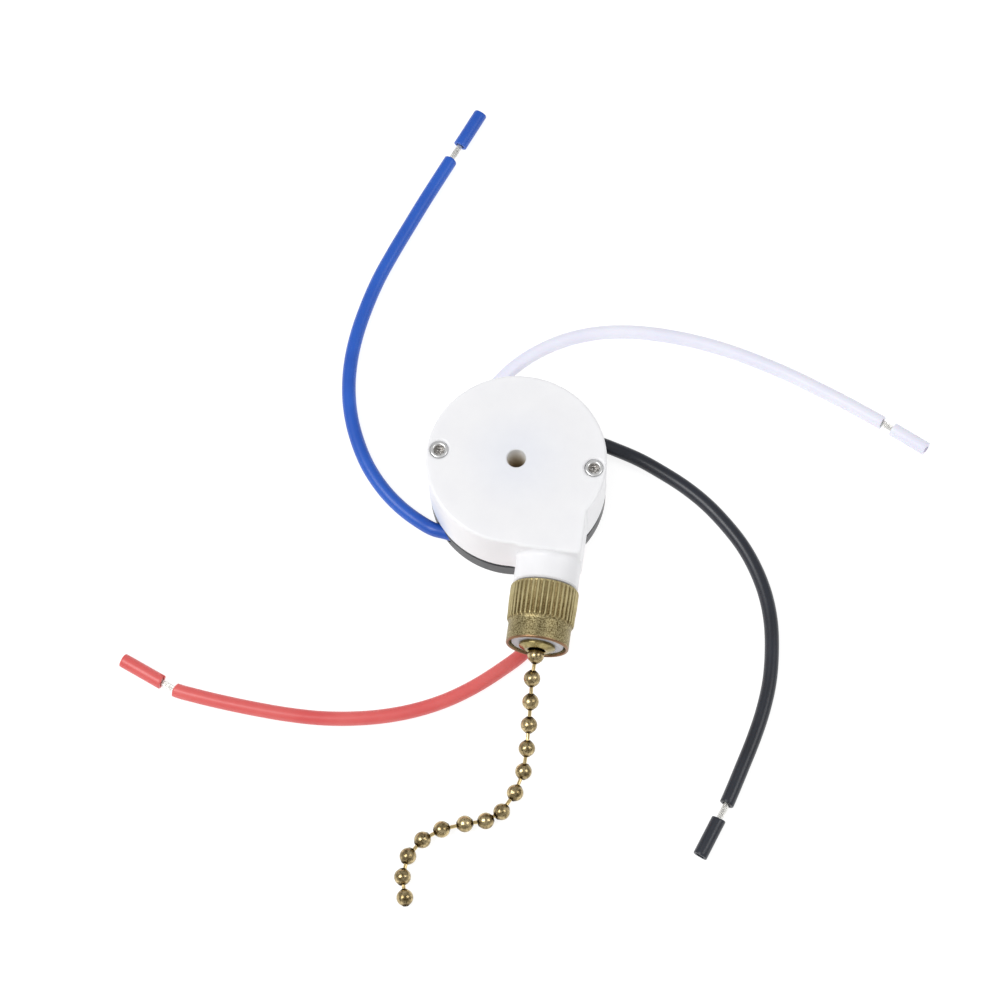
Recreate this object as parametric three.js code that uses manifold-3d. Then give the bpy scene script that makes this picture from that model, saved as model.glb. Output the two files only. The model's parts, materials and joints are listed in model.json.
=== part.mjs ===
// Pull-chain rotary switch for a ceiling fan: a round two-part housing with a threaded
// neck, a brass nut, a bead chain and four lead wires. Millimetres, +Z up.
// Origin: centre of the base's flat underside. The neck points along -Y.

import * as THREE from 'three';
import { mergeVertices } from 'three/addons/utils/BufferGeometryUtils.js';
import Module from 'manifold-3d';

const wasm = await Module();
wasm.setup();

// ---------- driving dimensions ----------

const FIT = 0.3;                    // gap kept between pieces that touch
const RUN = 0.2;                    // running clearance round the centre post

const DISC_R = 17.5;                // cap outside radius
const BASE_R = 17.4;
const WIRE_RIM_R = 17.2;             // radius that the wires' own frames stand on
const BASE_H = 5.1;
const CAP_Z = BASE_H + FIT;         // parting line, underside of the cap
const CAP_TOP = 18.5;
const ROOF = 1.8;
const CAVITY_R = 15.6;
const CAVITY_TOP = CAP_TOP - ROOF;

const POST_R = 3.0;                 // hollow centre post of the cap
const POST_BORE_R = 1.85;
const SPIGOT_R = 1.5;               // pin of the base that stands in the post
const SPIGOT_TOP = 8.5;

const RIVET_X = 15.1;
const RIVET_SHANK_R = 1.25;
const RIVET_BORE_R = 0.95;
const RIVET_FLANGE_R = 1.7;
const RIVET_FLANGE_T = 0.45;
const RIVET_HOLE_R = 1.45;
const COUNTERBORE_R = 1.95;
const COUNTERBORE_DEPTH = 0.85;
const RIVET_COLUMN_R = 2.7;

const NECK_X = 8.6;                 // neck axis, also the chain's radius on the wheel
const NECK_Z = 11.2;
const BOSS_HALF = 6.3;
const BOSS_END_Y = -17.8;
const COLLAR_R = 6.3;
const COLLAR_END_Y = -23.0;
const THREAD_R = 5.15;
const NECK_END_Y = -34.7;
const CHAIN_BORE_R = 2.1;
const BELL_BORE_R = 2.75;           // counterbore in the neck that the bell mouth sits in
const BELL_DEPTH = 5.0;
const BELL_HOLE_R = 2.0;            // the beads pass through it
const BELL_FLANGE_R = 3.5;
const BELL_FLANGE_T = 0.3;
const BELL_NOSE_R = 2.5;
const BELL_NOSE = 0.55;             // how far the cone stands out past the flange

const NUT_START_Y = COLLAR_END_Y - FIT;
const NUT_KNURL_END_Y = -30.0;
const NUT_END_Y = -35.15;
const NUT_KNURL_R = 6.6;
const NUT_SMOOTH_R = 6.05;
const NUT_BORE_R = THREAD_R + FIT;
const NUT_RIDGES = 40;
const NUT_RIDGE_H = 0.3;

const BEAD_R = 1.6;                 // 3.2 mm bead chain
const LINK_R = 0.42;
const LINK_TAUT = 4.5;              // bead spacing where the chain is pulled straight
const BEADS_IN_NECK = 8;
const BEADS_ON_WHEEL = 7;
const FIRST_BEAD_Y = -36.8;

const WHEEL_R = 10.9;
const WHEEL_Z = 8.75;
const WHEEL_FLANGE_T = 0.6;
const WHEEL_TOP = 13.65;
const WHEEL_GROOVE_R = 6.8;
const PEG_R = 0.7;                  // spring peg on the wheel's upper flange
const PEG_AT_R = 9.6;
const PEG_ANGLE = 100;
const PEG_TOP = 15.9;

const SPRING_Z = 14.0;
const SPRING_H = 2.0;
const SPRING_T = 0.35;
const SPRING_TURNS = 3.5;
const SPRING_R0 = 3.55;
const SPRING_R1 = 8.3;
const SPRING_END_LEAD = 0.16;       // radians between the spring's last point and its peg
const SPRING_HOOK_R = 10.4;

const ROTOR_Z = 6.6;
const ROTOR_TOP = 7.9;
const ROTOR_HALF = 7.6;             // half the side of the square index cam
const ROTOR_CORNER = 2.4;
const RATCHET_R0 = 4.0;
const RATCHET_R1 = 6.2;
const RATCHET_H = 0.55;
const RATCHET_TEETH = 4;
const TOOTH_LEAD = 1.6;             // length of a tooth's ramp
const TOOTH_ROOT = 0.2;             // how deep a tooth is set into its disc
const ROTOR_TEETH_TURN = 24;        // the two sets of teeth stand clear of each other

const LEAF_T = 0.3;
const LEAF_Z = 6.75;
const LEAF_H = 1.0;
const LEAF_FLAT = 6.4;              // half the length that lies on the rotor
const LEAF_REACH = 11.4;
const LEAF_RISE = 2.1;

const CONTACT_Z = 5.2;
const CONTACT_T = 0.4;
const CONTACT_HUB_R = 6.2;
const CONTACT_ARM_R = 9.9;
const CONTACT_ARM_HALF = 1.5;
const CONTACT_POINT = [-6.1, -5.0]; // where an arm meets a terminal's tab, in the wire's frame
const WASHER_Z = 6.1;
const WASHER_T = 0.25;
const WASHER_R0 = 3.6;
const WASHER_R1 = 5.6;
const WASHER_WAVE = 0.12;
const WASHER_WAVES = 3;

const WIRE_R = 1.4;                 // 18 AWG hook-up wire, 2.8 mm over the insulation
const WIRE_BORE_R = 0.85;
const CONDUCTOR_R = 0.55;
const WIRE_EXIT_Z = 2.6;
const WIRE_HOLE_R = 1.68;
const WIRE_LEAN = -48;              // wires leave the rim this far off the radius, degrees
const INSULATION_IN = 2.2;          // how far the insulation reaches into the base
const CONDUCTOR_IN = 8.2;
const CONDUCTOR_IN_SLUG = 5.2;
const WIRE_STEPS = 17;

const POCKET_FLOOR = 1.2;           // pockets in the base that hold the wire clamps
const RECESS_FLOOR = 4.1;           // round recess under the moving contact
const RECESS_R = 11.6;
const TAB_TOP = 4.9;
const TAB_T = 0.5;

// Outlines in a wire's own frame, as [x0, x1, y0, y1].
const POCKET = [-9.6, -3.2, -2.2, 1.7];
const TAB_WAY = [-8.0, -4.2, -6.6, 0];
const TERMINAL_SIDE = [-9.0, -3.6, -1.45, -0.95];
const TERMINAL_TAB = [-7.6, -4.6, -6.0, -0.95];

const CLAMP_T = 0.22;
const CLAMP_TOP = 4.2;
const CLAMP_LIFT = 0.4;             // gap under the clamp
const CLAMP_START_X = -3.7;
const CLAMP_FOLD_X = -9.1;
const CLAMP_BACK_Y = 1.45;
const CLAMP_PRESS = [[-9.1, 0.95], [-6.0, 0.76], [-5.2, 0.8]];

// ---------- materials ----------

function finish(color, roughness, metalness) {
  return new THREE.MeshStandardMaterial({ color, roughness, metalness });
}

const NYLON = finish(0xf1f1f4, 0.45, 0);
const PHENOLIC = finish(0x1d1e21, 0.5, 0);
const NICKEL = finish(0xb9bbbd, 0.3, 1);
const ANTIQUE_BRASS = finish(0x8a7440, 0.4, 1);
const BRIGHT_BRASS = finish(0xc9a650, 0.3, 1);
const ACETAL = finish(0xe2dfd2, 0.5, 0);
const SPRING_STEEL = finish(0x8f9398, 0.3, 1);
const COPPER = finish(0xb87346, 0.35, 1);
const TINNED = finish(0xcfcfc8, 0.35, 1);

// ---------- making solids ----------

function solidOf(geometry) {
  const bare = geometry.clone();
  bare.deleteAttribute('normal');
  bare.deleteAttribute('uv');
  const merged = mergeVertices(bare, 1e-5);
  return new wasm.Manifold(new wasm.Mesh({
    numProp: 3,
    vertProperties: new Float32Array(merged.attributes.position.array),
    triVerts: new Uint32Array(merged.index.array),
  }));
}

function geometryOf(solid) {
  const mesh = solid.getMesh();
  const geometry = new THREE.BufferGeometry();
  geometry.setAttribute('position', new THREE.BufferAttribute(mesh.vertProperties, 3));
  geometry.setIndex(new THREE.BufferAttribute(mesh.triVerts, 1));
  geometry.computeVertexNormals();
  return geometry;
}

function joined(solids) {
  return solids.reduce((all, one) => all.add(one));
}

// A round bar between two points.
function bar(radius, from, to, sides = 32) {
  const a = new THREE.Vector3(...from);
  const b = new THREE.Vector3(...to);
  const along = b.clone().sub(a);
  const geometry = new THREE.CylinderGeometry(radius, radius, along.length(), sides);
  const turn = new THREE.Quaternion().setFromUnitVectors(
    new THREE.Vector3(0, 1, 0), along.clone().normalize());
  geometry.applyQuaternion(turn);
  geometry.translate(...a.add(b).multiplyScalar(0.5).toArray());
  return solidOf(geometry);
}

function upright(radius, x, y, z0, z1, sides = 32) {
  return bar(radius, [x, y, z0], [x, y, z1], sides);
}

// A bar along the neck's axis, from y0 down to y1.
function alongNeck(radius, y0, y1, sides = 48) {
  return bar(radius, [NECK_X, y1, NECK_Z], [NECK_X, y0, NECK_Z], sides);
}

function block(x0, x1, y0, y1, z0, z1) {
  const geometry = new THREE.BoxGeometry(x1 - x0, y1 - y0, z1 - z0);
  geometry.translate((x0 + x1) / 2, (y0 + y1) / 2, (z0 + z1) / 2);
  return solidOf(geometry);
}

// A closed [radius, height] outline turned about +Z.
function turned(outline, sides = 48) {
  const points = [...outline, outline[0]].map(([r, z]) => new THREE.Vector2(r, z));
  const geometry = new THREE.LatheGeometry(points, sides);
  geometry.rotateX(Math.PI / 2);
  return solidOf(geometry);
}

// A turned piece whose axis is the neck's; heights become distances along -Y.
function turnedOnNeck(outline, sides = 48) {
  return turned(outline, sides).rotate([90, 0, 0]).translate([NECK_X, 0, NECK_Z]);
}

function plate(points, z0, z1, hole = null) {
  const shape = new THREE.Shape(points.map(([x, y]) => new THREE.Vector2(x, y)));
  if (hole) shape.holes.push(hole);
  const geometry = new THREE.ExtrudeGeometry(shape, { depth: z1 - z0, bevelEnabled: false });
  geometry.translate(0, 0, z0);
  return geometry;
}

function named(name, geometry, material) {
  const mesh = new THREE.Mesh(geometry, material);
  mesh.name = name;
  return mesh;
}

function radians(degrees) {
  return degrees * Math.PI / 180;
}

// ---------- housing ----------

function makeCap() {
  const sides = 56;
  const neckRim = 0.5;
  const body = joined([
    upright(DISC_R, 0, 0, CAP_Z, CAP_TOP, sides),
    block(NECK_X - BOSS_HALF, NECK_X + BOSS_HALF, BOSS_END_Y, -2, CAP_Z, CAP_TOP),
    alongNeck(COLLAR_R, BOSS_END_Y + 1, COLLAR_END_Y),
    alongNeck(THREAD_R, COLLAR_END_Y + 1, NECK_END_Y + neckRim),
    alongNeck(THREAD_R - neckRim, NECK_END_Y + 1, NECK_END_Y),
  ]);
  const cavity = upright(CAVITY_R, 0, 0, CAP_Z - 1, CAVITY_TOP, sides)
    .subtract(upright(POST_R, 0, 0, CAP_Z + 0.1, CAVITY_TOP + 1, 48))
    .subtract(upright(RIVET_COLUMN_R, RIVET_X, 0, 0, CAP_TOP))
    .subtract(upright(RIVET_COLUMN_R, -RIVET_X, 0, 0, CAP_TOP));
  let cap = body.subtract(cavity)
    .subtract(upright(POST_BORE_R, 0, 0, 0, CAP_TOP + 1))
    .subtract(alongNeck(CHAIN_BORE_R, -8, NECK_END_Y - 1, 24))
    .subtract(alongNeck(BELL_BORE_R, NECK_END_Y + BELL_DEPTH, NECK_END_Y - 1, 32));
  for (const x of [-RIVET_X, RIVET_X]) {
    cap = cap.subtract(upright(RIVET_HOLE_R, x, 0, 0, CAP_TOP + 1, 24))
      .subtract(upright(COUNTERBORE_R, x, 0, CAP_TOP - COUNTERBORE_DEPTH, CAP_TOP + 1));
  }
  return named('top_cap', geometryOf(cap), NYLON);
}

// Wires leave the rim in a pinwheel. A wire's own frame has its origin where the wire
// crosses the rim, x outward along the wire and -y on the side of the switch's middle.
function wireFrame(azimuth) {
  const out = radians(azimuth + WIRE_LEAN);
  const at = radians(azimuth);
  const frame = new THREE.Matrix4().makeRotationZ(out);
  frame.setPosition(WIRE_RIM_R * Math.cos(at), WIRE_RIM_R * Math.sin(at), 0);
  return frame;
}

function inFrame(solid, frame) {
  return solid.transform(frame.elements.slice());
}

function makeBase() {
  let base = upright(BASE_R, 0, 0, 0, BASE_H, 56)
    .subtract(upright(RECESS_R, 0, 0, RECESS_FLOOR, BASE_H + 1, 48))
    .add(upright(SPIGOT_R, 0, 0, RECESS_FLOOR - 1, SPIGOT_TOP, 24));
  for (const x of [-RIVET_X, RIVET_X]) {
    base = base.subtract(upright(RIVET_HOLE_R, x, 0, -1, BASE_H + 1, 24))
      .subtract(upright(COUNTERBORE_R, x, 0, -1, COUNTERBORE_DEPTH));
  }
  for (const wire of WIRES) {
    const frame = wireFrame(wire.azimuth);
    const hole = bar(WIRE_HOLE_R, [-4, 0, WIRE_EXIT_Z], [3, 0, WIRE_EXIT_Z], 16);
    const pocket = block(...POCKET, POCKET_FLOOR, BASE_H + 1);
    const tabWay = block(...TAB_WAY, RECESS_FLOOR, BASE_H + 1);
    base = base.subtract(inFrame(joined([hole, pocket, tabWay]), frame));
  }
  return named('base_plate', geometryOf(base), PHENOLIC);
}

function makeRivet(name, x) {
  const low = COUNTERBORE_DEPTH - FIT - RIVET_FLANGE_T;
  const high = CAP_TOP - COUNTERBORE_DEPTH + FIT + RIVET_FLANGE_T - 0.15;
  const rivet = turned([
    [RIVET_BORE_R, low], [RIVET_FLANGE_R, low], [RIVET_FLANGE_R, low + RIVET_FLANGE_T],
    [RIVET_SHANK_R, low + RIVET_FLANGE_T], [RIVET_SHANK_R, high - RIVET_FLANGE_T],
    [RIVET_FLANGE_R, high - RIVET_FLANGE_T], [RIVET_FLANGE_R, high - 0.15],
    [RIVET_FLANGE_R - 0.2, high], [RIVET_BORE_R, high],
  ], 24).translate([x, 0, 0]);
  return named(name, geometryOf(rivet), NICKEL);
}

// ---------- neck hardware ----------

function makeBellMouth() {
  const tubeR = BELL_BORE_R - FIT;
  const inner = -NECK_END_Y - BELL_DEPTH + FIT;
  const back = -NECK_END_Y + FIT;
  const front = back + BELL_FLANGE_T;
  const bell = turnedOnNeck([
    [BELL_HOLE_R, inner], [tubeR, inner], [tubeR, back], [BELL_FLANGE_R, back],
    [BELL_FLANGE_R, front], [BELL_NOSE_R, front + BELL_NOSE], [BELL_HOLE_R, front + BELL_NOSE],
  ], 32);
  return named('bell_mouth', geometryOf(bell), ANTIQUE_BRASS);
}

function makeNut() {
  const start = -NUT_START_Y;
  const shoulder = -NUT_KNURL_END_Y;
  const end = -NUT_END_Y;
  const inner = turnedOnNeck([
    [NUT_BORE_R, start + FIT], [NUT_KNURL_R - NUT_RIDGE_H, start],
    [NUT_KNURL_R - NUT_RIDGE_H, shoulder], [NUT_SMOOTH_R, shoulder + 0.25],
    [NUT_SMOOTH_R, end - 0.6], [NUT_SMOOTH_R - 0.25, end], [NUT_BORE_R, end - 0.1],
  ], 64);
  const corners = [];
  for (let i = 0; i < NUT_RIDGES * 2; i += 1) {
    const angle = i * Math.PI / NUT_RIDGES;
    const radius = i % 2 ? NUT_KNURL_R - NUT_RIDGE_H : NUT_KNURL_R;
    corners.push([radius * Math.cos(angle), radius * Math.sin(angle)]);
  }
  const hole = new THREE.Path().absarc(0, 0, NUT_KNURL_R - NUT_RIDGE_H - 0.4, 0, Math.PI * 2, true);
  hole.curves[0].getPoints = function getPoints() {
    return THREE.Curve.prototype.getPoints.call(this, 64);
  };
  const knurl = solidOf(plate(corners, start + 0.35, shoulder - 0.35, hole))
    .rotate([90, 0, 0]).translate([NECK_X, 0, NECK_Z]);
  return named('cap_nut', geometryOf(inner.add(knurl)), ANTIQUE_BRASS);
}

// ---------- mechanism ----------

// Saw teeth round the post, rising from height z by rise (negative hangs down).
function ratchetTeeth(z, rise) {
  const teeth = [];
  const root = -TOOTH_ROOT * Math.sign(rise);
  for (let i = 0; i < RATCHET_TEETH; i += 1) {
    const shape = new THREE.Shape([
      new THREE.Vector2(0, root), new THREE.Vector2(TOOTH_LEAD, root),
      new THREE.Vector2(TOOTH_LEAD, 0), new THREE.Vector2(0, rise),
    ]);
    const geometry = new THREE.ExtrudeGeometry(shape, {
      depth: RATCHET_R1 - RATCHET_R0, bevelEnabled: false });
    geometry.translate(0, 0, RATCHET_R0);
    // the outline's height becomes Z, the depth becomes the radius
    geometry.applyMatrix4(new THREE.Matrix4().makeBasis(
      new THREE.Vector3(0, 1, 0), new THREE.Vector3(0, 0, 1), new THREE.Vector3(1, 0, 0)));
    geometry.translate(0, 0, z);
    geometry.rotateZ(i * 2 * Math.PI / RATCHET_TEETH);
    teeth.push(solidOf(geometry));
  }
  return joined(teeth);
}

function makeWheel() {
  const bore = POST_R + RUN;
  const peg = radians(PEG_ANGLE);
  const wheel = turned([
    [bore, WHEEL_Z], [WHEEL_R, WHEEL_Z], [WHEEL_R, WHEEL_Z + WHEEL_FLANGE_T],
    [WHEEL_GROOVE_R, WHEEL_Z + WHEEL_FLANGE_T], [WHEEL_GROOVE_R, WHEEL_TOP - WHEEL_FLANGE_T],
    [WHEEL_R, WHEEL_TOP - WHEEL_FLANGE_T], [WHEEL_R, WHEEL_TOP], [bore, WHEEL_TOP],
  ], 56)
    .add(upright(PEG_R, PEG_AT_R * Math.cos(peg), PEG_AT_R * Math.sin(peg), WHEEL_TOP - 0.2,
      PEG_TOP, 12))
    .add(ratchetTeeth(WHEEL_Z, -RATCHET_H));
  return named('drive_wheel', geometryOf(wheel), ACETAL);
}

function makeRotor() {
  const h = ROTOR_HALF;
  const c = ROTOR_CORNER;
  const outline = [[-h, c - h], [c - h, -h], [h - c, -h], [h, c - h],
    [h, h - c], [h - c, h], [c - h, h], [-h, h - c]];
  const rotor = solidOf(plate(outline, ROTOR_Z, ROTOR_TOP))
    .subtract(upright(POST_R + RUN, 0, 0, 0, CAP_TOP, 48))
    .add(ratchetTeeth(ROTOR_TOP, RATCHET_H).rotate([0, 0, ROTOR_TEETH_TURN]));
  return named('index_rotor', geometryOf(rotor), ACETAL);
}

function makeMovingContact() {
  const top = CONTACT_Z + CONTACT_T;
  const parts = [upright(CONTACT_HUB_R, 0, 0, CONTACT_Z, top, 40)];
  for (const wire of WIRES.slice(0, 3)) {
    const tip = new THREE.Vector3(...CONTACT_POINT, 0).applyMatrix4(wireFrame(wire.azimuth));
    const turn = Math.atan2(tip.y, tip.x) * 180 / Math.PI;
    const arm = block(CONTACT_HUB_R - 1, CONTACT_ARM_R, -CONTACT_ARM_HALF, CONTACT_ARM_HALF,
      CONTACT_Z, top);
    parts.push(arm.rotate([0, 0, turn]));
  }
  const contact = joined(parts).subtract(upright(POST_R + RUN, 0, 0, 0, CAP_TOP, 40));
  return named('moving_contact', geometryOf(contact), COPPER);
}

function makeWaveWasher() {
  const points = [[WASHER_R0, 0], [WASHER_R1, 0], [WASHER_R1, WASHER_T], [WASHER_R0, WASHER_T],
    [WASHER_R0, 0]].map(([r, z]) => new THREE.Vector2(r, z));
  const geometry = new THREE.LatheGeometry(points, 36);
  geometry.rotateX(Math.PI / 2);
  const position = geometry.attributes.position;
  for (let i = 0; i < position.count; i += 1) {
    const angle = Math.atan2(position.getY(i), position.getX(i));
    const lift = WASHER_Z - WASHER_T / 2 + WASHER_WAVE * Math.sin(WASHER_WAVES * angle);
    position.setZ(i, position.getZ(i) + lift);
  }
  return named('contact_spring', geometryOf(solidOf(geometry)), SPRING_STEEL);
}

function makeReturnSpring() {
  const stepsPerTurn = 18;
  const steps = SPRING_TURNS * stepsPerTurn;
  const end = radians(PEG_ANGLE) - SPRING_END_LEAD;
  const outer = [];
  const inner = [];
  for (let i = 0; i <= steps; i += 1) {
    const angle = end - (1 - i / steps) * SPRING_TURNS * Math.PI * 2;
    const radius = SPRING_R0 + (SPRING_R1 - SPRING_R0) * i / steps;
    outer.push([(radius + SPRING_T / 2) * Math.cos(angle), (radius + SPRING_T / 2) * Math.sin(angle)]);
    inner.push([(radius - SPRING_T / 2) * Math.cos(angle), (radius - SPRING_T / 2) * Math.sin(angle)]);
  }
  const spiral = solidOf(plate([...outer, ...inner.reverse()], SPRING_Z, SPRING_Z + SPRING_H));
  const hookTurn = end * 180 / Math.PI;
  const hook = block(SPRING_R1 - SPRING_T / 2, SPRING_HOOK_R, -SPRING_T, 0, SPRING_Z,
    SPRING_Z + SPRING_H)
    .rotate([0, 0, hookTurn]);
  return named('return_spring', geometryOf(spiral.add(hook)), SPRING_STEEL);
}

function makeLeaf(name, side) {
  const rest = ROTOR_HALF + FIT;
  const path = [[-LEAF_REACH, rest + LEAF_RISE], [-LEAF_FLAT, rest], [LEAF_FLAT, rest],
    [LEAF_REACH, rest + LEAF_RISE]];
  const back = path.map(([x, y]) => [x, y + LEAF_T]).reverse();
  const outline = [...path, ...back].map(([x, y]) => [x * side, y * side]);
  return named(name, plate(outline, LEAF_Z, LEAF_Z + LEAF_H), SPRING_STEEL);
}

// ---------- wires ----------

// Each route is the wire's centre line once it is outside the base. Past it come a bare
// length and the cut slug of insulation, both along the tail's direction.
const WIRES = [
  {
    name: 'blue', azimuth: 220, color: 0x2458c8,
    route: [[-18.1, -9.4, 2.0], [-22.3, -6.8, 1.5], [-26.5, -3.3, 1.42], [-30.4, 1.3, 1.42],
      [-33.4, 6.5, 1.42], [-35.6, 12.0, 1.42], [-36.9, 17.6, 1.42], [-37.4, 23.6, 1.42],
      [-37.1, 29.8, 1.42], [-36.1, 36.2, 1.42], [-34.6, 42.6, 1.42], [-32.5, 49.0, 1.42],
      [-30.2, 55.3, 1.42], [-27.8, 61.7, 1.42], [-25.7, 67.0, 1.42], [-23.9, 71.5, 1.42]],
    tail: [2.4, 6.0], bare: 3.9, slug: 8.5,
  },
  {
    name: 'red', azimuth: 313, color: 0xd93c3f,
    route: [[11.2, -18.6, 2.0], [10.4, -23.4, 1.5], [8.6, -28.4, 1.42], [5.5, -33.6, 1.42],
      [1.6, -37.6, 1.42], [-2.9, -41.5, 1.42], [-7.9, -44.9, 1.42], [-13.4, -47.6, 1.42],
      [-19.3, -49.6, 1.42], [-25.4, -50.9, 1.42], [-31.6, -51.6, 1.42], [-38.0, -51.7, 1.42],
      [-44.4, -51.4, 1.42], [-50.6, -50.9, 1.42], [-56.0, -50.3, 1.42], [-60.4, -49.6, 1.42]],
    tail: [-8.2, 3.4], bare: 3.0, slug: 9.0,
  },
  {
    name: 'black', azimuth: 43, color: 0x1c1e22,
    route: [[18.5, 10.8, 2.0], [23.2, 9.5, 1.5], [28.0, 7.4, 1.42], [32.8, 4.9, 1.42],
      [37.4, 1.8, 1.42], [41.6, -1.9, 1.42], [45.4, -6.0, 1.42], [48.5, -10.6, 1.42],
      [50.9, -15.6, 1.42], [52.5, -21.0, 1.42], [53.3, -26.8, 1.42], [53.5, -32.8, 1.42],
      [52.9, -38.8, 1.42], [51.7, -44.7, 1.42], [50.1, -50.7, 1.42], [47.9, -58.4, 1.42]],
    tail: [-4.2, -11.5], bare: 3.3, slug: 8.0,
  },
  {
    name: 'white', azimuth: 133, color: 0xe6e4f4,
    route: [[-9.9, 17.2, 2.0], [-7.8, 21.5, 1.5], [-4.6, 26.1, 1.42], [-0.3, 30.2, 1.42],
      [5.2, 33.7, 1.42], [11.4, 36.0, 1.42], [18.0, 37.1, 1.42], [24.8, 37.2, 1.42],
      [31.6, 36.6, 1.42], [38.2, 35.4, 1.42], [44.6, 33.7, 1.42], [50.8, 31.7, 1.42],
      [56.8, 29.4, 1.42], [62.2, 27.2, 1.42], [66.5, 25.3, 1.42], [70.3, 23.6, 1.42]],
    tail: [9.1, -4.5], bare: 2.3, slug: 7.9,
  },
];

// A curve read at stated distances along it, so that pieces on one line share sections.
class Stations extends THREE.Curve {
  constructor(whole, distances) {
    super();
    this.whole = whole;
    this.parts = distances.map((distance) => distance / whole.getLength());
  }

  part(u) {
    const last = this.parts.length - 1;
    const i = Math.min(Math.floor(u * last + 1e-9), last - 1);
    return THREE.MathUtils.lerp(this.parts[i], this.parts[i + 1], u * last - i);
  }

  getPoint(u) {
    return this.whole.getPointAt(this.part(u));
  }

  getPointAt(u) {
    return this.getPoint(u);
  }

  getTangentAt(u) {
    return this.whole.getTangentAt(this.part(u));
  }
}

function wireLine(wire) {
  const frame = wireFrame(wire.azimuth);
  const inside = [[-CONDUCTOR_IN, 0], [-4.5, 0], [0, 0], [2.2, 0]]
    .map(([x, y]) => new THREE.Vector3(x, y, WIRE_EXIT_Z).applyMatrix4(frame));
  const outside = wire.route.map((point) => new THREE.Vector3(...point));
  const end = outside[outside.length - 1];
  const along = new THREE.Vector3(...wire.tail, 0).normalize();
  const beyond = [wire.bare, wire.bare + wire.slug / 2, wire.bare + wire.slug]
    .map((distance) => end.clone().addScaledVector(along, distance));
  const line = new THREE.CatmullRomCurve3([...inside, ...outside, ...beyond], false, 'centripetal');
  line.arcLengthDivisions = 1200;
  return line;
}

function tube(line, distances, radius, bore, sides) {
  const shape = new THREE.Shape();
  const hole = new THREE.Path();
  for (let i = 0; i < sides; i += 1) {
    const angle = i * 2 * Math.PI / sides;
    const add = i ? 'lineTo' : 'moveTo';
    shape[add](radius * Math.cos(angle), radius * Math.sin(angle));
    if (bore) hole[add](bore * Math.cos(angle), -bore * Math.sin(angle));
  }
  shape.closePath();
  if (bore) {
    hole.closePath();
    shape.holes.push(hole);
  }
  return new THREE.ExtrudeGeometry(shape, {
    steps: distances.length - 1, bevelEnabled: false, extrudePath: new Stations(line, distances) });
}

function makeWire(wire) {
  const line = wireLine(wire);
  const start = CONDUCTOR_IN - INSULATION_IN;
  const slugStart = line.getLength() - wire.slug;
  const end = slugStart - wire.bare;
  const conductorEnd = slugStart + CONDUCTOR_IN_SLUG;
  const insulated = [];
  for (let i = 0; i <= WIRE_STEPS; i += 1) {
    insulated.push(start + (end - start) * i / WIRE_STEPS);
  }
  const color = finish(wire.color, 0.4, 0);
  return [
    named(`${wire.name}_wire_insulation`,
      tube(line, insulated, WIRE_R, WIRE_BORE_R, 8), color),
    named(`${wire.name}_wire_conductor`,
      tube(line, [0, ...insulated, slugStart, conductorEnd], CONDUCTOR_R, 0, 6), TINNED),
    named(`${wire.name}_wire_slug`,
      tube(line, [slugStart, conductorEnd, slugStart + wire.slug], WIRE_R, WIRE_BORE_R, 8), color),
  ];
}

// A brass terminal beside each conductor, with a tab that the moving contact sweeps.
function makeTerminal(wire) {
  const side = block(...TERMINAL_SIDE, POCKET_FLOOR + FIT, TAB_TOP);
  const tab = block(...TERMINAL_TAB, TAB_TOP - TAB_T, TAB_TOP);
  const solid = inFrame(side.add(tab), wireFrame(wire.azimuth));
  return named(`terminal_${wire.name}`, geometryOf(solid), BRIGHT_BRASS);
}

// A bent strip that presses the conductor against its terminal.
function makeClamp(wire) {
  const t = CLAMP_T;
  const [fold, ...press] = CLAMP_PRESS;
  const outline = [[CLAMP_START_X, CLAMP_BACK_Y], [CLAMP_FOLD_X, CLAMP_BACK_Y], fold, ...press,
    ...press.map(([x, y]) => [x, y + t]).reverse(), [fold[0] + t, fold[1] + t],
    [CLAMP_FOLD_X + t, CLAMP_BACK_Y - t], [CLAMP_START_X, CLAMP_BACK_Y - t]];
  const strip = solidOf(plate(outline, POCKET_FLOOR + CLAMP_LIFT, CLAMP_TOP));
  return named(`wire_clamp_${wire.name}`, geometryOf(inFrame(strip, wireFrame(wire.azimuth))),
    SPRING_STEEL);
}

// ---------- chain ----------

function ball(center) {
  const geometry = new THREE.SphereGeometry(BEAD_R, 8, 6);
  geometry.rotateX(Math.PI / 2);
  geometry.translate(...center);
  return solidOf(geometry);
}

// A bead and the link that leaves it, which stops just short of the next bead.
function beadWithLink(center, next) {
  const bead = ball(center);
  if (!next) return bead;
  const a = new THREE.Vector3(...center);
  const reach = new THREE.Vector3(...next).sub(a);
  const length = reach.length() - BEAD_R - FIT;
  const tip = a.clone().addScaledVector(reach.normalize(), length);
  return bead.add(bar(LINK_R, a.toArray(), tip.toArray(), 6));
}

// Where the free chain goes: each link's heading in degrees (0 is straight out of the
// neck, positive turns towards +X), and the height of the bead it leads to.
const CHAIN_HEADINGS = [-3, 3, 3, 2, -2, -13, -27, -52, -74, -69, -53, -33, -6, 15];
const CHAIN_HEIGHTS = [NECK_Z, 9.2, 7.1, 5.0, 3.7, 1.65];
const TAUT_LINKS = 7;
const SLACK_SPACINGS = [3.5, 4.0, 4.5, 4.15, 4.15, 4.1, 4.0];  // bead spacings past those

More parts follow.
